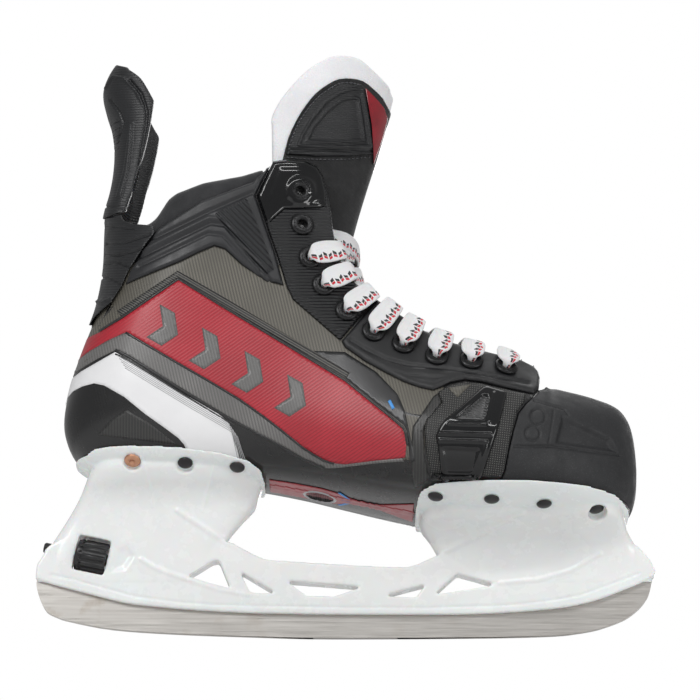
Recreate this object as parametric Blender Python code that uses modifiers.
"""Right-foot ice hockey skate: a moulded boot on a two-tower blade holder with a replaceable steel runner.

Lengths are in millimetres and are turned into metres when a mesh is made. +X is the toe, +Z is up and the
lateral (outer) side is -Y. The origin is the middle of the runner's bottom edge.
Side patterns are drawn on a plane that leans 20 degrees, as the boot's walls do: u is world X, v runs up the
plane. They are pressed onto the boot square to that plane, and mirrored for the medial side.
"""

import math

import bmesh
import bpy
from mathutils import Matrix, Vector
from mathutils.bvhtree import BVHTree

MM = 0.001
GAP = 0.3
TILT = math.radians(20)
REACH = 160.0

SHELL_WALL = 2.6
PANEL_RISE = 1.6
PANEL_WALL = 1.1
TOE_WALL = 3.0
TOE_FLOOR = 63.5
CUP_RISE = 2.2
LINER_DEPTH = 3.0
LINER_WALL = 5.0
INSOLE_WALL = 4.0

STEEL_HALF = 1.5
SLOT_HALF = 1.7
BEAM_HALF = 4.3

EYELET_HOLE = 2.3
EYELET_BARREL = 3.2
EYELET_FLANGE = 5.7
BARREL_CLEAR = 3.6
RIVET_SHANK = 1.9
RIVET_CLEAR = 2.3
RIVET_HEAD = 3.6

DIAL_CENTRE = Vector((-121.0, 0.0, 40.0))
DIAL_SLOPE = math.radians(12)
DIAL_RADIUS = 8.0
DIAL_LENGTH = 14.6
BOLT_RADIUS = 2.6
BOLT_BORE = 3.0
BOLT_TAIL = -23.6
BOLT_TIP = 15.2

LACE_HALF = 0.9
LACE_HALF_IN_EYELET = 1.05
SPAN_HALF = 3.2
THROUGH_WALL = 12.0
THROUGH_CUP = 9.0
POCKET_DEPTH = 24.0

# Boot sections, from the toe round the heel to the top of the shaft. Each is a slanted ring:
# sole x, z; crest x, z; half width; how far up it is widest; exponents of the sole half, of the top half
# along and across; sideways shift of its centre.
SECTIONS = (
    (141.2, 80.0, 141.2, 88.0, 5.0, 0.50, 2.0, 2.0, 2.0, 7.0),
    (140.2, 70.0, 139.4, 103.0, 15.0, 0.48, 2.4, 2.2, 2.2, 7.0),
    (137.5, 63.5, 136.0, 111.0, 24.0, 0.46, 2.8, 2.3, 2.3, 6.5),
    (131.0, 59.8, 130.0, 115.3, 33.0, 0.44, 3.2, 2.5, 2.4, 6.0),
    (119.0, 58.2, 118.0, 118.6, 41.0, 0.42, 3.4, 2.5, 2.4, 5.0),
    (104.0, 57.6, 103.0, 121.8, 46.0, 0.40, 3.5, 2.4, 2.3, 3.5),
    (94.0, 57.7, 97.5, 123.6, 48.2, 0.39, 3.5, 2.2, 2.1, 2.8),
    (87.0, 57.8, 92.5, 137.0, 49.4, 0.34, 3.5, 1.45, 1.6, 1.8),
    (75.0, 58.2, 79.5, 154.0, 50.4, 0.30, 3.4, 1.25, 1.4, 1.0),
    (59.0, 58.9, 64.0, 172.0, 50.0, 0.27, 3.4, 1.15, 1.25, 0.5),
    (41.0, 61.0, 49.0, 186.0, 48.0, 0.26, 3.4, 1.1, 1.2, 0.0),
    (21.0, 64.5, 36.0, 196.0, 45.0, 0.26, 3.4, 1.15, 1.25, 0.0),
    (0.0, 69.0, 26.0, 205.0, 42.0, 0.28, 3.4, 1.3, 1.4, 0.0),
    (-22.0, 73.6, 18.5, 213.0, 39.0, 0.32, 3.4, 1.55, 1.7, 0.0),
    (-46.0, 77.4, 12.0, 219.0, 37.0, 0.37, 3.4, 1.95, 2.1, 0.0),
    (-74.0, 79.6, 7.0, 224.0, 36.5, 0.42, 3.4, 2.4, 2.6, 0.0),
    (-104.0, 79.8, 3.0, 229.0, 36.5, 0.46, 3.2, 2.8, 2.9, 0.0),
    (-126.0, 85.0, 0.0, 234.0, 37.0, 0.48, 2.7, 3.0, 3.0, 0.0),
    (-135.6, 101.0, -2.0, 239.0, 37.5, 0.50, 2.4, 3.0, 3.0, 0.0),
    (-134.5, 121.0, -3.0, 244.0, 38.0, 0.50, 2.3, 3.0, 3.0, 0.0),
    (-128.5, 142.0, -4.0, 249.0, 38.0, 0.52, 2.3, 3.0, 3.0, 0.0),
    (-121.5, 163.0, -5.0, 254.5, 38.0, 0.52, 2.3, 3.0, 3.0, 0.0),
    (-118.0, 184.0, -5.0, 261.0, 38.5, 0.52, 2.3, 3.0, 3.0, 0.0),
    (-117.5, 206.0, -4.5, 267.0, 39.5, 0.52, 2.3, 3.0, 3.0, 0.0),
    (-117.0, 228.0, -4.0, 276.0, 40.5, 0.52, 2.3, 3.0, 3.0, 0.0),
)
LAST = len(SECTIONS) - 1
AROUND = 32

# Side patterns, (u, v).
SHELL_PATTERN = (
    (-160, 20), (-160, 188), (-105, 188), (-96, 191), (-92, 195), (-70, 208), (-45, 217.5), (-36, 226),
    (-34, 228.5), (-28, 229.5), (-20, 229), (-14.3, 226.5), (-11.4, 222), (-9.4, 215), (-7.4, 205),
    (-6.4, 195), (-4, 183), (2, 171), (8.5, 165), (15, 160.5), (38, 145.5), (52, 139.5), (67, 135.5),
    (84.5, 131), (88.5, 129.5), (91, 127), (92.5, 123), (92.5, 118), (92.5, 90), (160, 90), (160, 20),
)
TOE_PATTERN = (
    (68, 40), (70, 66), (72, 73), (75, 80), (77, 90), (79, 98), (82, 107), (86, 111.5), (90, 114.6),
    (93, 117.2), (96.5, 117.6), (98, 121), (103, 126), (170, 126), (170, 40),
)
THROAT_FRONT = (
    (60, -22), (78, -20), (87, -16), (92, -10), (94, 0), (92, 10), (87, 16), (78, 20), (60, 22),
)
THROAT_FLOOR = 119.0
FLEX_PATTERN = (
    (46, 111.6), (38.3, 103.8), (37.4, 98), (38.4, 88), (41.0, 78), (73.2, 78),
    (74.2, 80.4), (76.2, 90.4), (78.2, 98.4), (81.2, 107.4), (85, 112), (86, 115.6), (75, 118),
    (65, 120.4), (57, 121.3), (50, 119.8), (44, 116.4),
)
LOWER_FACING_PATTERN = (
    (0, 138), (10, 131), (20, 125.5), (28, 121.5), (35, 119), (42, 117.5), (46, 119), (50, 121),
    (57, 122.5), (65, 121.5), (75, 119), (85, 117), (90, 116), (92.5, 118), (93.5, 123), (93, 126),
    (91, 128.5), (85, 131.5), (67, 136), (52, 140), (38, 146), (15.4, 161), (-1.6, 141),
)
UPPER_FACING_PATTERN = (
    (-35, 229), (-28, 230), (-20, 229.5), (-14, 227), (-11, 222), (-9, 215), (-7, 205), (-6, 195),
    (-3.6, 183), (2.4, 171.5), (9, 165.5), (14.8, 161.4), (-2.2, 141.2), (-10, 148), (-25, 161),
    (-28, 167), (-33, 183), (-38, 197), (-43, 212),
)
CUFF_PATTERN = (
    (-90.6, 195.6), (-70, 209), (-45, 218.5), (-36.6, 226.5), (-43.6, 212), (-38.6, 197), (-33.6, 183),
    (-29.5, 168), (-38, 170), (-50, 178), (-58, 185.5), (-63, 187), (-70, 184), (-80, 179), (-95, 173),
    (-105.6, 168.6), (-103.6, 175), (-98.6, 183), (-94.6, 189),
)
GUARD_BASE_PATTERN = (
    (-124, 149), (-122, 152.5), (-118, 156), (-113, 160), (-108, 168), (-105, 175), (-100, 183),
    (-96, 189), (-92, 194), (-93, 197), (-96, 197.8), (-103, 198.5), (-108.5, 200.5), (-109.5, 203),
    (-150, 203), (-150, 149),
)
LINER_PATTERN = (
    (-140, 198), (-96, 198), (-92, 201), (-86, 210.5), (-82, 213.5), (-78, 215), (-69, 218.5), (-50, 222),
    (-44, 223.5), (-46, 205), (-52, 180), (-60, 150), (-72, 124), (-100, 108), (-160, 108), (-160, 198),
)
TONGUE_PATTERN = (
    (-60, 150), (-48, 205), (-42, 222), (-40.5, 235), (-39, 243), (-35, 255), (-30, 263), (-25, 269),
    (-18, 276), (-10, 281), (-5, 283), (3, 283), (8, 281.5), (13, 277.5), (18, 273), (23, 268),
    (26, 262), (60, 240), (60, 150),
)
TONGUE_PATCH_PATTERN = (
    (-29, 233), (-27, 241), (-23, 250), (-18, 257.5), (-13, 263), (-7.5, 267), (-3, 269.5), (3, 270),
    (8, 269), (10, 267), (12.5, 249), (13.5, 234.5),
)
TONGUE_BADGE_PATTERN = ((13.2, 248.6), (10.7, 266.6), (12.5, 265), (30, 262), (30, 236), (14.6, 236))
VENT_PLACE = (-12.0, 67.0)

# Eyelets, (u, v), from the top down, and the first one that is laced.
EYELETS = (
    (-22.3, 213.8), (-21.0, 197.3), (-17.0, 181.0), (-10.4, 167.6), (0.6, 155.1), (13.3, 144.9),
    (27.7, 138.7), (43.7, 132.8), (60.3, 130.5), (76.7, 127.4),
)
FIRST_LACED = 2
HEEL_RIVETS = (-101.0, -76.0, -51.0)
HEEL_RIVET_OUT = 21.0
TOE_RIVETS = (43.2, 69.3, 94.0, 119.0)
TOE_RIVET_OUT = (31.0, 33.5, 30.0, 21.0)

# Tongue spine: front x, z, half width and how far its wings reach back; then the guard's, the same way.
TONGUE_SPINE = (
    (97.0, 113.0, 15.0, 8.0), (87.0, 124.0, 19.0, 13.0), (78.0, 134.0, 21.0, 18.0),
    (62.1, 138.7, 23.5, 22.0), (48.1, 143.6, 24.0, 24.0), (34.6, 151.0, 24.0, 24.0),
    (23.7, 158.5, 24.0, 24.0), (13.6, 166.4, 24.5, 24.0), (5.5, 176.0, 25.0, 27.0),
    (2.3, 187.0, 25.5, 32.0), (2.0, 198.0, 26.0, 37.0), (5.0, 212.0, 26.0, 42.0),
    (10.0, 230.0, 27.5, 48.0), (14.8, 246.0, 31.5, 54.0), (19.3, 262.0, 36.0, 60.0),
    (23.6, 277.0, 39.0, 64.0), (26.5, 291.0, 40.0, 66.0), (28.5, 304.0, 40.0, 67.0),
)
TONGUE_ROWS = len(TONGUE_SPINE) - 1
TONGUE_SPLIT = 10.55
TONGUE_WALL = 7.0
GUARD_SPINE = (
    (-121.2, 205.0, 23.5, 13.0), (-119.8, 215.0, 23.0, 13.5), (-117.2, 226.0, 22.5, 14.5),
    (-115.6, 238.0, 22.5, 15.5), (-115.4, 250.0, 23.5, 18.0), (-117.0, 262.0, 25.0, 21.5),
    (-120.0, 272.0, 26.0, 25.5), (-121.8, 281.0, 26.0, 27.0), (-119.5, 289.0, 25.0, 25.0),
    (-115.5, 296.0, 23.0, 22.0),
)
GUARD_WALL = 4.0
GUARD_PATTERN = (
    (-150, 205), (-106.5, 205), (-106, 210), (-102.5, 218), (-101, 222), (-99, 233), (-97, 239),
    (-95, 246), (-94, 251.5), (-93.7, 258), (-96, 263), (-100, 270), (-103, 273.5), (-108, 277),
    (-112, 279), (-150, 285),
)
GUARD_HINGE = Vector((-119.5, 0.0, 205.0))
TONGUE_HINGE = Vector((3.9, 0.0, 205.4))

RUNNER_EDGE = (
    (-147, 28.2), (-147, 25.5), (-145.5, 20), (-142, 13.3), (-137, 10.4), (-130, 8.2), (-110, 4.4),
    (-80, 2.2), (-40, 0.7), (-15, 0), (25, 0), (60, 0.3), (80, 0.6), (100, 1.3), (110, 2.4), (120, 4.3),
    (130, 7.8), (135, 10.4), (140, 14.4), (143, 18), (145, 21.5), (147, 29.5),
)
RUNNER_TOP = (
    (140, 29.5), (130, 27.5), (112, 25), (111, 36), (103, 36), (101, 22.5), (80, 18), (60, 16.6), (0, 16.2),
    (-40, 16.8), (-80, 19.5), (-93, 22), (-94.5, 41), (-105.4, 41), (-107, 25.5), (-130, 28.5), (-140, 31),
)
LOWER_EDGE = (
    (-147.5, 28.6), (-140, 26), (-130, 23.2), (-110, 17.9), (-100, 15.9), (-80, 13.8), (-60, 12.4),
    (-40, 11.5), (0, 10.9), (40, 10.8), (60, 11.1), (80, 12), (100, 13.8), (110, 15.4), (120, 18),
    (130, 21.8), (140, 26), (147.5, 30),
)
BEAM_TOP = (
    (148.5, 32), (140, 45), (118, 48), (60, 44), (46, 40.8), (36, 36.2), (30, 34.4), (25, 34.2), (0, 35.4),
    (-30, 37.4), (-40, 38.6), (-50, 43.4), (-58, 47), (-80, 50), (-118, 52), (-140, 46), (-144, 40.5),
    (-147, 35.4),
)
WINDOWS = (
    ((-75, 29.5), (-54.5, 23.8), (-60, 37.5), (-63, 37)),
    ((-50.3, 32.3), (-45, 21.8), (-32, 21)),
    ((-28, 27.5), (-18, 20), (-5, 19.8), (8.6, 24.5)),
    ((17.5, 20), (34, 19.3), (38.5, 25.7)),
    ((42.5, 20.7), (73, 25.5), (53.5, 31)),
)
# Towers: height, rear x, front x, half width.
HEEL_TOWER = (
    (27, -147.5, -52, 4.5), (36, -146, -58, 5.0), (46, -140.5, -57, 5.6), (56, -134.5, -50, 6.6),
    (64, -130, -43, 8.5), (70, -127, -41, 12.5), (75, -125, -39.5, 18.0), (80, -123, -38.5, 22.0),
    (86, -120, -38.5, 23.0),
)
TOE_TOWER = (
    (27, 46, 147.5, 4.5), (33, 48, 147.5, 4.8), (40, 44.5, 143.0, 6.0), (46, 41.5, 139, 9.0),
    (51, 38.5, 136, 16.0), (55, 36.5, 134.5, 25.0), (60, 36.0, 133.5, 28.0), (66, 36.0, 132, 28.0),
)
HEEL_CUP_LIMIT = ((-170, 40), (-170, 86), (-123.5, 86), (-120, 87.5), (-112, 88), (-80, 86.5),
                  (-60, 84), (-46, 80.5), (-40, 77), (-37.5, 73), (-38, 40))
TOE_CUP_LIMIT = ((33.5, 40), (33.5, 60), (36, 63), (42, 64.5), (60, 65), (115, 64.6), (128, 63.5),
                 (135, 61), (150, 57), (150, 40))


# ---------------------------------------------------------------- helpers


def clear_scene():
    for obj in list(bpy.data.objects):
        bpy.data.objects.remove(obj, do_unlink=True)


def new_collection(name):
    made = bpy.data.collections.new(name)
    bpy.context.scene.collection.children.link(made)
    return made


def new_material(name, colour, roughness, metallic=0.0):
    made = bpy.data.materials.new(name)
    made.use_nodes = True
    shader = made.node_tree.nodes["Principled BSDF"]
    shader.inputs["Base Color"].default_value = (*colour, 1.0)
    shader.inputs["Roughness"].default_value = roughness
    shader.inputs["Metallic"].default_value = metallic
    made.diffuse_color = (*colour, 1.0)
    return made


def object_from(name, bm, cutter=False):
    """An object from a bmesh that is in millimetres."""
    bmesh.ops.scale(bm, vec=(MM, MM, MM), verts=bm.verts)
    mesh = bpy.data.meshes.new(name)
    bm.to_mesh(mesh)
    bm.free()
    made = bpy.data.objects.new(name, mesh)
    (CUTTERS if cutter else SKATE).objects.link(made)
    if cutter:
        made.hide_render = True
        made.display_type = "WIRE"
    return made


def finish(obj, material, angle=35):
    obj.data.materials.append(material)
    obj.data.shade_smooth()
    obj.data.set_sharp_from_angle(angle=math.radians(angle))
    return obj


def boolean(obj, cutter, operation):
    step = obj.modifiers.new(f"{operation.lower()}_{cutter.name}", "BOOLEAN")
    step.operation = operation
    step.object = cutter
    step.solver = "EXACT"
    return obj


def solidify(obj, thickness):
    step = obj.modifiers.new("wall", "SOLIDIFY")
    step.thickness = thickness * MM
    step.offset = -1.0
    return obj


def catmull(rows, s):
    """The row at place s, counted in rows, on a smooth curve through them all."""
    s = min(max(s, 0.0), len(rows) - 1.0)
    i = min(int(s), len(rows) - 2)
    f = s - i
    a, b, c, d = (rows[min(max(i + k, 0), len(rows) - 1)] for k in (-1, 0, 1, 2))
    return [
        0.5 * (2 * q + (r - p) * f + (2 * p - 5 * q + 4 * r - t) * f * f + (3 * q - p - 3 * r + t) * f**3)
        for p, q, r, t in zip(a, b, c, d)
    ]


def boot_point(s, a):
    """Section s at angle a: 0 is the sole's centre line, pi / 2 the lateral wall, pi the crest."""
    bx, bz, tx, tz, width, widest, low, along, across, shift = catmull(SECTIONS, s)
    c, side = math.cos(a), math.sin(a)
    if c >= 0:
        t = widest * (1 - c ** (2 / low))
        y = abs(side) ** (2 / low)
    else:
        t = widest + (1 - widest) * (-c) ** (2 / along)
        y = abs(side) ** (2 / across)
    return Vector((bx + (tx - bx) * t, shift - math.copysign(width * y, side), bz + (tz - bz) * t))


def boot_surface(s0, s1, j0, j1, rise, closed_toe=False, closed_top=False):
    """A bmesh of part of the boot's outer surface, moved out by rise. Its faces point out.

    Sections s0 to s1 and grid lines j0 to j1 of AROUND are taken from one grid, so layers stay parallel.
    """
    bm = bmesh.new()
    around = j1 - j0 == AROUND
    count = AROUND if around else j1 - j0 + 1
    grid = [
        [bm.verts.new(boot_point(s, 2 * math.pi * (j0 + j) / AROUND)) for j in range(count)]
        for s in range(s0, s1 + 1)
    ]
    for one, two in zip(grid, grid[1:]):
        for j in range(j1 - j0):
            k = (j + 1) % count
            bm.faces.new((one[j], one[k], two[k], two[j]))
    if closed_toe:
        bm.faces.new(list(reversed(grid[0])))
    if closed_top:
        bm.faces.new(grid[-1])
    bm.normal_update()
    moved = [v.co + v.normal * rise for v in bm.verts]
    for v, co in zip(bm.verts, moved):
        v.co = co
    return bm


def boot_tree():
    bm = boot_surface(0, LAST, 0, AROUND, 0.0, closed_toe=True)
    tree = BVHTree.FromBMesh(bm)
    bm.free()
    return tree


def pattern_axes(side):
    """The pattern plane's u and v directions and its normal, which points out of that side."""
    return (
        Vector((1, 0, 0)),
        Vector((0, side * math.sin(TILT), math.cos(TILT))),
        Vector((0, side * math.cos(TILT), -math.sin(TILT))),
    )


def on_boot(u, v, side):
    """The point of the boot's surface under a pattern point, and the surface's outward normal there."""
    across, up, out = pattern_axes(side)
    start = across * u + up * v + out * REACH
    point, normal, _, _ = TREE.ray_cast(start, -out)
    return point, normal


def outline_mesh(name, splines, half):
    """A flat outline in the XY plane, extruded both ways, as a welded bmesh in millimetres."""
    curve = bpy.data.curves.new(name, "CURVE")
    curve.dimensions = "2D"
    curve.fill_mode = "BOTH"
    curve.extrude = half
    for points in splines:
        spline = curve.splines.new("POLY")
        spline.points.add(len(points) - 1)
        for point, (x, y) in zip(spline.points, points):
            point.co = (x, y, 0, 1)
        spline.use_cyclic_u = True
    guide = bpy.data.objects.new(name, curve)
    CUTTERS.objects.link(guide)
    bpy.context.view_layer.update()
    graph = bpy.context.evaluated_depsgraph_get()
    mesh = bpy.data.meshes.new_from_object(guide.evaluated_get(graph))
    bpy.data.objects.remove(guide, do_unlink=True)
    bm = bmesh.new()
    bm.from_mesh(mesh)
    bpy.data.meshes.remove(mesh)
    bmesh.ops.remove_doubles(bm, verts=bm.verts, dist=1e-4)
    bmesh.ops.recalc_face_normals(bm, faces=bm.faces)
    return bm


def clip(bm, point, normal, fill=True):
    """Cuts away what lies on the normal's side of a plane."""
    parts = list(bm.verts) + list(bm.edges) + list(bm.faces)
    cut = bmesh.ops.bisect_plane(bm, geom=parts, plane_co=point, plane_no=normal, clear_outer=True)
    if fill:
        edges = [e for e in cut["geom_cut"] if isinstance(e, bmesh.types.BMEdge)]
        bmesh.ops.triangle_fill(bm, edges=edges, use_beauty=True)
        bmesh.ops.recalc_face_normals(bm, faces=bm.faces)


def pattern_cutter(name, pattern, sides, middle_gap=GAP / 2, floor=None):
    """A prism square to the pattern plane, for the lateral side, the medial side or both as one body."""
    bm = outline_mesh(name, [pattern], REACH * 1.6)
    across, up, out = pattern_axes(-1)
    bm.transform(Matrix((across, up, out)).transposed().to_4x4())
    both = len(sides) == 2
    clip(bm, (0, 0 if both else -middle_gap, 0), (0, 1, 0), fill=not both)
    if both:
        copy = bmesh.ops.duplicate(bm, geom=list(bm.verts) + list(bm.edges) + list(bm.faces))["geom"]
        verts = [g for g in copy if isinstance(g, bmesh.types.BMVert)]
        bmesh.ops.scale(bm, vec=(1, -1, 1), verts=verts)
        bmesh.ops.reverse_faces(bm, faces=[g for g in copy if isinstance(g, bmesh.types.BMFace)])
        bmesh.ops.remove_doubles(bm, verts=bm.verts, dist=1e-3)
    elif sides[0] > 0:
        bmesh.ops.scale(bm, vec=(1, -1, 1), verts=bm.verts)
        bmesh.ops.reverse_faces(bm, faces=bm.faces)
    if floor is not None:
        clip(bm, (0, 0, floor), (0, 0, -1))
    bmesh.ops.recalc_face_normals(bm, faces=bm.faces)
    return object_from(name, bm, cutter=True)


def cross_cutter(name, outline, half):
    """A prism along Y from an outline in x and z."""
    bm = outline_mesh(name, [outline], half)
    bm.transform(Matrix.Rotation(math.radians(90), 4, "X"))
    return object_from(name, bm, cutter=True)


def place(direction, point):
    """A matrix that takes +Z to a direction and the origin to a point."""
    turn = direction.normalized().to_track_quat("Z", "Y").to_matrix().to_4x4()
    return Matrix.Translation(point) @ turn


def rods(name, places, radius, low, high, sides):
    """One cutter of many cylinders, each along the Z axis of its place."""
    bm = bmesh.new()
    for matrix in places:
        middle = Matrix.Translation((0, 0, (low + high) / 2))
        bmesh.ops.create_cone(
            bm, cap_ends=True, segments=sides, radius1=radius, radius2=radius, depth=high - low,
            matrix=matrix @ middle,
        )
    return object_from(name, bm, cutter=True)


def turned(name, profile, steps, matrix, closed=False):
    """A turned solid: its profile is (radius, height), down the outer side."""
    bm = bmesh.new()
    verts = [bm.verts.new((r * MM, 0, h * MM)) for r, h in profile]
    for a, b in zip(verts, verts[1:]):
        bm.edges.new((a, b))
    if closed:
        bm.edges.new((verts[-1], verts[0]))
    mesh = bpy.data.meshes.new(name)
    bm.to_mesh(mesh)
    bm.free()
    made = bpy.data.objects.new(name, mesh)
    SKATE.objects.link(made)
    made.matrix_world = Matrix.Translation(matrix.translation * MM) @ matrix.to_3x3().to_4x4()
    screw = made.modifiers.new("turn", "SCREW")
    screw.steps = steps
    screw.render_steps = steps
    screw.use_merge_vertices = True
    screw.merge_threshold = 0.00001
    screw.use_smooth_shade = True
    return made


def loft(name, rings, cutter=False):
    """A closed solid through rings of equal length, capped at both ends."""
    bm = bmesh.new()
    grid = [[bm.verts.new(p) for p in ring] for ring in rings]
    count = len(grid[0])
    for one, two in zip(grid, grid[1:]):
        for j in range(count):
            k = (j + 1) % count
            bm.faces.new((one[j], one[k], two[k], two[j]))
    bm.faces.new(grid[0])
    bm.faces.new(grid[-1])
    bmesh.ops.recalc_face_normals(bm, faces=bm.faces)
    return object_from(name, bm, cutter=cutter)


# ---------------------------------------------------------------- boot


def make_boot_shell(eyelet_places, rivet_places):
    bm = boot_surface(0, LAST, 0, AROUND, 0.0, closed_toe=True)
    shell = solidify(object_from("boot_shell", bm), SHELL_WALL)
    finish(shell, new_material("carbon_olive", (0.11, 0.105, 0.085), 0.45))
    boolean(shell, pattern_cutter("shell_limit", SHELL_PATTERN, (-1, 1)), "INTERSECT")
    throat = outline_mesh("throat_front", [THROAT_FRONT], 60)
    throat.transform(Matrix.Translation((0, 0, THROAT_FLOOR + 60)))
    boolean(shell, object_from("throat_front", throat, cutter=True), "DIFFERENCE")
    grown = [(u - 0.4, v) for u, v in TOE_PATTERN]
    boolean(shell, pattern_cutter("shell_toe_room", grown, (-1, 1), floor=TOE_FLOOR - GAP), "DIFFERENCE")
    barrels = rods("barrel_holes", eyelet_places, BARREL_CLEAR, -THROUGH_WALL, THROUGH_WALL, 10)
    boolean(shell, barrels, "DIFFERENCE")
    shanks = rods("shank_holes", rivet_places, RIVET_CLEAR, -THROUGH_CUP, THROUGH_CUP, 8)
    boolean(shell, shanks, "DIFFERENCE")
    boolean(shell, bpy.data.objects["vent_hole"], "DIFFERENCE")
    return shell


def make_toe_cap():
    bm = boot_surface(0, 9, 0, AROUND, 0.0, closed_toe=True)
    cap = solidify(object_from("toe_cap", bm), TOE_WALL)
    finish(cap, new_material("toe_plastic", (0.03, 0.031, 0.033), 0.6))
    boolean(cap, pattern_cutter("toe_limit", TOE_PATTERN, (-1, 1), floor=TOE_FLOOR), "INTERSECT")
    return cap


def make_panel(name, pattern, side, s0, s1, material, holes=None):
    """A moulded panel that lies on one side of the shell."""
    start = 0 if side < 0 else AROUND // 2
    bm = boot_surface(s0, s1, start, start + AROUND // 2, PANEL_RISE)
    panel = solidify(object_from(name, bm), PANEL_WALL)
    finish(panel, material)
    boolean(panel, pattern_cutter(f"{name}_limit", pattern, (side,)), "INTERSECT")
    if holes:
        boolean(panel, holes, "DIFFERENCE")
    return panel


def make_guard_base():
    bm = boot_surface(17, LAST, -11, 11, PANEL_RISE)
    base = solidify(object_from("tendon_guard_base", bm), PANEL_WALL)
    finish(base, new_material("guard_rubber", (0.035, 0.036, 0.038), 0.55))
    return boolean(base, pattern_cutter("guard_base_limit", GUARD_BASE_PATTERN, (-1, 1)), "INTERSECT")


def make_collar_liner():
    bm = boot_surface(14, LAST, -13, 13, -LINER_DEPTH)
    liner = solidify(object_from("collar_liner", bm), LINER_WALL)
    finish(liner, new_material("liner_suede", (0.07, 0.072, 0.075), 0.9))
    return boolean(liner, pattern_cutter("liner_limit", LINER_PATTERN, (-1, 1)), "INTERSECT")


def make_insole():
    bm = boot_surface(4, 16, -2, 2, -SHELL_WALL - 2 * GAP)
    insole = solidify(object_from("insole", bm), INSOLE_WALL)
    return finish(insole, new_material("insole_foam", (0.20, 0.20, 0.21), 0.95))


def wing_surface(spine, s0, s1, rows, cols, forward, fullness=2.0):
    """A surface whose rows are arches: front point, half width and how far the wings reach back."""
    bm = bmesh.new()
    grid = []
    for i in range(rows + 1):
        s = s0 + (s1 - s0) * i / rows
        x, z, width, depth = catmull(spine, s)
        ahead = catmull(spine, s + 0.2)
        behind = catmull(spine, s - 0.2)
        along = Vector((ahead[0] - behind[0], 0, ahead[1] - behind[1])).normalized()
        out = Vector((along.z, 0, -along.x)) if forward > 0 else Vector((-1, 0, 0))
        row = []
        for j in range(cols + 1):
            f = math.sin(math.pi / 2 * (2 * j / cols - 1))
            drop = depth * (1 - max(0.0, 1 - abs(f) ** fullness) ** (1 / fullness))
            row.append(bm.verts.new(Vector((x, 0, z)) + Vector((0, width * f, 0)) - out * drop))
        grid.append(row)
    for one, two in zip(grid, grid[1:]):
        for j in range(cols):
            corners = (one[j], one[j + 1], two[j + 1], two[j])
            bm.faces.new(corners if forward > 0 else tuple(reversed(corners)))
    bm.normal_update()
    return bm


def raised(bm, rise):
    moved = [v.co + v.normal * rise for v in bm.verts]
    for v, co in zip(bm.verts, moved):
        v.co = co
    return bm


def make_tongue():
    felt = new_material("tongue_felt", (0.85, 0.85, 0.86), 0.95)
    lower = object_from("tongue_lower", wing_surface(TONGUE_SPINE, 0, TONGUE_SPLIT - 0.08, 11, 8, 1))
    finish(solidify(lower, TONGUE_WALL), felt)
    upper = object_from("tongue_upper", wing_surface(TONGUE_SPINE, TONGUE_SPLIT + 0.08, TONGUE_ROWS, 9, 12, 1))
    finish(solidify(upper, TONGUE_WALL), felt)
    boolean(upper, pattern_cutter("tongue_limit", TONGUE_PATTERN, (-1, 1)), "INTERSECT")
    plastic = new_material("tongue_plastic", (0.03, 0.03, 0.032), 0.5)
    badge = new_material("badge_gloss", (0.25, 0.01, 0.015), 0.2)
    for side, word in ((-1, "lateral"), (1, "medial")):
        for name, pattern, paint in (
            (f"tongue_patch_{word}", TONGUE_PATCH_PATTERN, plastic),
            (f"tongue_badge_{word}", TONGUE_BADGE_PATTERN, badge),
        ):
            skin = raised(wing_surface(TONGUE_SPINE, 11, 16, 6, 16, 1), PANEL_RISE)
            made = finish(solidify(object_from(name, skin), PANEL_WALL), paint)
            boolean(made, pattern_cutter(f"{name}_limit", pattern, (side,)), "INTERSECT")
    return lower, upper


def make_tendon_guard():
    guard = object_from("tendon_guard", wing_surface(GUARD_SPINE, 0, 9, 12, 12, -1, 2.4))
    finish(solidify(guard, GUARD_WALL), bpy.data.materials["guard_rubber"])
    return boolean(guard, pattern_cutter("guard_limit", GUARD_PATTERN, (-1, 1)), "INTERSECT")


def make_vent():
    """The oval ring in the lateral side of the arch, and the hole it sits in."""
    point, normal = on_boot(*VENT_PLACE, -1)
    long_way = Vector((1, 0, -0.2)).normalized()
    short_way = normal.cross(long_way).normalized()
    long_way = short_way.cross(normal).normalized()
    matrix = Matrix((long_way, short_way, normal)).transposed().to_4x4()
    matrix.translation = point

    def oval(half_long, half_short, count=20):
        return [
            (half_long * math.cos(2 * math.pi * i / count), half_short * math.sin(2 * math.pi * i / count))
            for i in range(count)
        ]

    hole = outline_mesh("vent_hole", [oval(8.8, 8.3)], 12)
    hole.transform(matrix)
    object_from("vent_hole", hole, cutter=True)
    ring = outline_mesh("sole_vent", [oval(8.5, 8.0), oval(6.5, 6.0)], 1.4)
    ring.transform(matrix @ Matrix.Translation((0, 0, -0.9)))
    return finish(object_from("sole_vent", ring), new_material("vent_metal", (0.5, 0.5, 0.52), 0.3, 1.0))


# ---------------------------------------------------------------- fasteners and lace


def eyelet_seats():
    """For each side, each eyelet's centre, outward normal and direction towards the throat."""
    seats = {}
    for side in (-1, 1):
        row = [on_boot(u, v, side) for u, v in EYELETS]
        seats[side] = []
        for i, (centre, normal) in enumerate(row):
            before, after = row[max(i - 1, 0)][0], row[min(i + 1, len(row) - 1)][0]
            along = after - before
            along = (along - normal * along.dot(normal)).normalized()
            throat = normal.cross(along)
            if throat.y * side > 0:
                throat = -throat
            seats[side].append((centre, normal, throat, along))
    return seats


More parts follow.
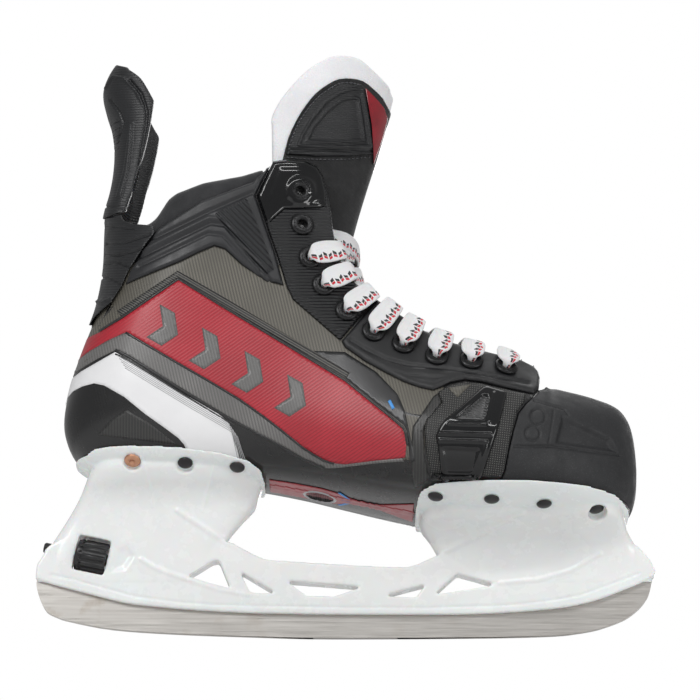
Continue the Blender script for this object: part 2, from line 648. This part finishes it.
def rivet_seats():
    seats = []
    for name, places, outs in (
        ("heel", HEEL_RIVETS, (HEEL_RIVET_OUT,) * 3), ("toe", TOE_RIVETS, TOE_RIVET_OUT),
    ):
        for side, word in ((-1, "lateral"), (1, "medial")):
            for i, (x, out) in enumerate(zip(places, outs)):
                point, normal, _, _ = TREE.ray_cast(Vector((x, side * out, 0)), Vector((0, 0, 1)))
                seats.append((f"{name}_rivet_{word}_{i + 1}", place(normal, point)))
    return seats


def make_eyelets(seats):
    steel = new_material("eyelet_black", (0.03, 0.03, 0.03), 0.35, 0.6)
    profile = (
        (EYELET_HOLE, 3.1), (EYELET_FLANGE - 0.6, 3.1), (EYELET_FLANGE, 2.3), (EYELET_BARREL, 2.3),
        (EYELET_BARREL, -3.2), (EYELET_HOLE, -3.2),
    )
    for side, word in ((-1, "lateral"), (1, "medial")):
        for i, (centre, normal, _, _) in enumerate(seats[side]):
            made = turned(f"eyelet_{word}_{i + 1:02d}", profile, 8, place(normal, centre), closed=True)
            made.data.materials.append(steel)


def make_rivets(seats):
    dark = new_material("rivet_gunmetal", (0.10, 0.10, 0.10), 0.35, 1.0)
    copper = new_material("rivet_copper", (0.60, 0.32, 0.20), 0.35, 1.0)
    top = CUP_RISE + GAP + 1.3
    profile = (
        (0, top), (RIVET_HEAD * 0.7, top - 0.25), (RIVET_HEAD, CUP_RISE + GAP), (RIVET_SHANK, CUP_RISE + GAP),
        (RIVET_SHANK, -SHELL_WALL + 0.2), (0, -SHELL_WALL + 0.2),
    )
    for name, matrix in seats:
        made = turned(name, profile, 8, matrix)
        made.data.materials.append(copper if name == "heel_rivet_lateral_1" else dark)


def in_pattern(u, v, pattern):
    inside = False
    for (u0, v0), (u1, v1) in zip(pattern, pattern[1:] + pattern[:1]):
        if (v0 > v) != (v1 > v) and u < (u1 - u0) * (v - v0) / (v1 - v0) + u0:
            inside = not inside
    return inside


def throat_reach(seat, side):
    """How far the throat's edge is from an eyelet's centre."""
    across, up, _ = pattern_axes(side)
    reach = 0.0
    point = seat[0]
    while in_pattern(point.dot(across), point.dot(up), SHELL_PATTERN):
        reach += 0.5
        point, _, _, _ = TREE.find_nearest(seat[0] + seat[2] * reach)
    return reach


def lace_route(seats):
    """(point, half width, width direction) from one tucked end to the other.

    A leg's steps are (distance towards the throat, height over the boot's surface, half width); the
    last is measured from the throat's edge. A span's are (fraction, height over the tongue).
    """
    outside = ((0, 0.5, 1.6), (0, 3.9, 1.6), (0.8, 4.9, 1.8), (3.2, 5.4, 3.8), (7.5, 4.6, 4.7))
    inside = ((0, -3.2, 1.6), (0.6, -4.5, 1.7), (3.0, -5.2, 3.0), (6.5, -5.0, 3.4))
    tucked = ((-9.0, -6.0, 3.5), (0.0, -5.6, 3.5), (7.0, -5.0, 3.5))
    over_edge, under_edge = (0.8, 3.7, 4.0), (-3.0, -4.8, 3.4)
    low, high = 2.3, 4.9
    last = len(EYELETS) - 1
    tongue = BVHTree.FromBMesh(wing_surface(TONGUE_SPINE, 0, TONGUE_ROWS, 34, 16, 1))
    reaches = {side: [throat_reach(seat, side) for seat in seats[side]] for side in seats}

    def leg(side, i, steps, edge):
        centre, normal, throat, along = seats[side][i]
        past, *rest = edge
        found = []
        for g, rise, half in (*steps, (reaches[side][i] + past, *rest)):
            point, near, _, _ = TREE.find_nearest(centre + throat * g)
            up = (normal + near).normalized()
            found.append((point + up * rise, half, along, up))
        return found

    def over(start, end, clearances):
        """The stretch between two legs' ends, resting on the tongue at each fraction of the way."""
        along = (start[2] + end[2]).normalized()
        normal = (start[3] + end[3]).normalized()
        found = []
        for f, clearance in clearances:
            base = start[0].lerp(end[0], f)
            point, near, _, _ = tongue.ray_cast(base + normal * 40, -normal)
            if point is None or (point - base).dot(normal) < -4:
                point, near = base, normal
            found.append((point + near * clearance, SPAN_HALF, along, near))
        return found

    def strand(first, height):
        """Upwards from the bottom bar: in through the last eyelet, across, and out of each next one."""
        found = leg(first, last, outside, over_edge)[::-1] + leg(first, last, inside, under_edge)
        side = first
        level = (low + height) / 2
        for i in range(last - 1, FIRST_LACED - 2, -1):
            side = -side
            if i == last - 1:
                rises = (
                    (0.1, 1.9), (0.24, low), (0.37, level), (0.5, height), (0.63, level),
                    (0.76, low), (0.9, 2.3),
                )
            else:
                rises = (
                    (0.07, 1.9), (0.22, low + 0.8), (0.36, level), (0.5, height), (0.63, level),
                    (0.76, low), (0.9, 2.3),
                )
            up = leg(side, i, inside if i >= FIRST_LACED else tucked, under_edge)[::-1]
            found += over(found[-1], up[0], rises) + up
            if i >= FIRST_LACED:
                found += leg(side, i, outside, over_edge)
        return found

    lateral, medial = strand(-1, high), strand(1, low)
    bar = over(lateral[0], medial[0], (
        (0.08, 1.9), (0.24, 3.8), (0.37, 5.6), (0.5, 7.2), (0.63, 5.6), (0.76, 3.8), (0.92, 1.9),
    ))
    return lateral[::-1] + bar + medial


def make_lace(seats):
    route = lace_route(seats)
    rings = []
    for i, (point, half, along, up) in enumerate(route):
        before, after = route[max(i - 1, 0)][0], route[min(i + 1, len(route) - 1)][0]
        heading = (after - before).normalized()
        wide = (along - heading * along.dot(heading)).normalized()
        if abs(heading.dot(up)) < 0.8:
            across = up.cross(heading).normalized()
            wide = across if across.dot(wide) > 0 else -across
        thin = heading.cross(wide)
        t = LACE_HALF_IN_EYELET if half < 2 else LACE_HALF
        rings.append([point + wide * half * a + thin * t * b for a, b in ((1, 1), (-1, 1), (-1, -1), (1, -1))])
    lace = loft("lace", rings)
    return finish(lace, new_material("lace_white", (0.85, 0.85, 0.85), 0.9))


# ---------------------------------------------------------------- holder and runner


def tower_rings(levels, count=28, power=5.0):
    rings = []
    for z, x0, x1, half in levels:
        ring = []
        for i in range(count):
            a = 2 * math.pi * (i + 0.5) / count
            c, s = math.cos(a), math.sin(a)
            x = (x0 + x1) / 2 + (x1 - x0) / 2 * math.copysign(abs(c) ** (2 / power), c)
            y = half * math.copysign(abs(s) ** (2 / 3.0), s)
            ring.append(Vector((x, y, z)))
        rings.append(ring)
    return rings


def dial_matrix():
    along = Vector((math.cos(DIAL_SLOPE), 0, -math.sin(DIAL_SLOPE)))
    return place(along, DIAL_CENTRE)


def make_holder(rivet_places):
    beam = outline_mesh("blade_holder", [LOWER_EDGE + BEAM_TOP], BEAM_HALF)
    beam.transform(Matrix.Rotation(math.radians(90), 4, "X"))
    holder = object_from("blade_holder", beam)
    finish(holder, new_material("holder_white", (0.82, 0.83, 0.84), 0.25), 30)
    boolean(holder, loft("heel_tower", tower_rings(HEEL_TOWER), cutter=True), "UNION")
    boolean(holder, loft("toe_tower", tower_rings(TOE_TOWER), cutter=True), "UNION")
    for name, limit, s0, s1 in (("heel_cup", HEEL_CUP_LIMIT, 13, 19), ("toe_cup", TOE_CUP_LIMIT, 0, 12)):
        skin = boot_surface(s0, s1, -7, 7, CUP_RISE)
        cup = solidify(object_from(name, skin, cutter=True), CUP_RISE + 1.2)
        boolean(cup, cross_cutter(f"{name}_limit", limit, REACH), "INTERSECT")
        boolean(holder, cup, "UNION")
    room = boot_surface(0, LAST, 0, AROUND, 1.2 * GAP, closed_toe=True, closed_top=True)
    boolean(holder, object_from("boot_room", room, cutter=True), "DIFFERENCE")
    for i, window in enumerate(WINDOWS):
        boolean(holder, cross_cutter(f"window_{i + 1}", window, 30), "DIFFERENCE")
    slot = outline_mesh("runner_slot", [grown_top()], SLOT_HALF)
    slot.transform(Matrix.Rotation(math.radians(90), 4, "X"))
    boolean(holder, object_from("runner_slot", slot, cutter=True), "DIFFERENCE")
    dial = bmesh.new()
    bmesh.ops.create_cube(dial, size=1.0)
    bmesh.ops.scale(dial, vec=(60, 2 * DIAL_RADIUS + 1, DIAL_LENGTH + 1), verts=dial.verts)
    dial.transform(dial_matrix())
    boolean(holder, object_from("dial_window", dial, cutter=True), "DIFFERENCE")
    boolean(holder, rods("bolt_bore", [dial_matrix()], BOLT_BORE, -40, 15.8, 14), "DIFFERENCE")
    shanks = rods("rivet_holes", rivet_places, RIVET_CLEAR, -THROUGH_CUP, THROUGH_CUP, 8)
    boolean(holder, shanks, "DIFFERENCE")
    pockets = rods("rivet_pockets", rivet_places, RIVET_HEAD + 1.0, CUP_RISE + 0.1, POCKET_DEPTH, 12)
    boolean(holder, pockets, "DIFFERENCE")
    return holder


def grown_top():
    """The runner's hidden outline, 0.3 mm larger, closed well under the holder."""
    posts = []
    for i, (x, z) in enumerate(RUNNER_TOP):
        before, after = RUNNER_TOP[i - 1] if i else (147, 29.5), RUNNER_TOP[(i + 1) % len(RUNNER_TOP)]
        if i == len(RUNNER_TOP) - 1:
            after = (-147, 28.2)
        e0 = Vector((x - before[0], z - before[1])).normalized()
        e1 = Vector((after[0] - x, after[1] - z)).normalized()
        n0, n1 = Vector((e0.y, -e0.x)), Vector((e1.y, -e1.x))
        corner = (n0 + n1) / (1 + n0.dot(n1))
        posts.append((x + corner.x * GAP, z + corner.y * GAP))
    return [(147.6, 29.9)] + posts + [(-147.8, 28.5), (-160, 0), (160, 0)]


def make_runner():
    bm = outline_mesh("runner", [RUNNER_EDGE + RUNNER_TOP], STEEL_HALF)
    bm.transform(Matrix.Rotation(math.radians(90), 4, "X"))
    return finish(object_from("runner", bm), new_material("runner_steel", (0.62, 0.60, 0.56), 0.28, 1.0))


def make_lock():
    black = new_material("lock_black", (0.02, 0.02, 0.022), 0.4)
    bm = bmesh.new()
    rings = 24
    low, high = -DIAL_LENGTH / 2, DIAL_LENGTH / 2
    outer, inner = [], []
    for i in range(rings):
        a = 2 * math.pi * i / rings
        r = DIAL_RADIUS - (0.0 if i % 2 else 0.9)
        outer.append((r * math.cos(a), r * math.sin(a)))
        inner.append((BOLT_BORE * math.cos(a), BOLT_BORE * math.sin(a)))
    layers = [[bm.verts.new((x, y, z)) for x, y in loop] for loop, z in
              ((outer, low), (outer, high), (inner, high), (inner, low))]
    for one, two in zip(layers, layers[1:] + layers[:1]):
        for i in range(rings):
            k = (i + 1) % rings
            bm.faces.new((one[i], one[k], two[k], two[i]))
    bmesh.ops.recalc_face_normals(bm, faces=bm.faces)
    dial = finish(object_from("lock_dial", bm), black, 20)
    dial.matrix_world = Matrix.Translation(DIAL_CENTRE * MM) @ dial_matrix().to_3x3().to_4x4()
    profile = ((0, BOLT_TIP), (BOLT_RADIUS, BOLT_TIP), (BOLT_RADIUS, BOLT_TAIL), (0, BOLT_TAIL))
    bolt = turned("lock_bolt", profile, 14, dial_matrix())
    bolt.data.materials.append(black)


# ---------------------------------------------------------------- build

clear_scene()
SKATE = new_collection("hockey_skate")
CUTTERS = new_collection("cutters")
TREE = boot_tree()


def hang(name, hinge):
    """Puts an object's origin on its joint's axis and leaves the shape where it is."""
    obj = bpy.data.objects[name]
    move = Matrix.Translation(hinge * MM)
    obj.data.transform(move.inverted() @ obj.matrix_world)
    obj.matrix_world = move


def main():
    seats = eyelet_seats()
    rivets = rivet_seats()
    eyelet_places = [place(normal, centre) for side in (-1, 1) for centre, normal, _, _ in seats[side]]
    rivet_places = [matrix for _, matrix in rivets]
    make_vent()
    make_boot_shell(eyelet_places, rivet_places)
    make_toe_cap()
    holes = bpy.data.objects["barrel_holes"]
    facing = new_material("facing_black", (0.025, 0.025, 0.027), 0.55)
    flex = new_material("flex_gloss", (0.02, 0.02, 0.022), 0.25)
    cuff = new_material("cuff_rubber", (0.04, 0.041, 0.044), 0.6)
    for side, word in ((-1, "lateral"), (1, "medial")):
        make_panel(f"flex_panel_{word}", FLEX_PATTERN, side, 6, 12, flex)
        make_panel(f"facing_lower_{word}", LOWER_FACING_PATTERN, side, 6, 14, facing, holes)
        make_panel(f"facing_upper_{word}", UPPER_FACING_PATTERN, side, 11, LAST, facing, holes)
        make_panel(f"cuff_{word}", CUFF_PATTERN, side, 14, LAST, cuff)
    make_guard_base()
    make_collar_liner()
    make_insole()
    make_tongue()
    make_tendon_guard()
    make_eyelets(seats)
    make_rivets(rivets)
    make_lace(seats)
    make_holder(rivet_places)
    make_runner()
    make_lock()
    hang("tendon_guard", GUARD_HINGE)
    hang("tongue_upper", TONGUE_HINGE)
    for kind in ("patch", "badge"):
        for word in ("lateral", "medial"):
            hang(f"tongue_{kind}_{word}", TONGUE_HINGE)


main()
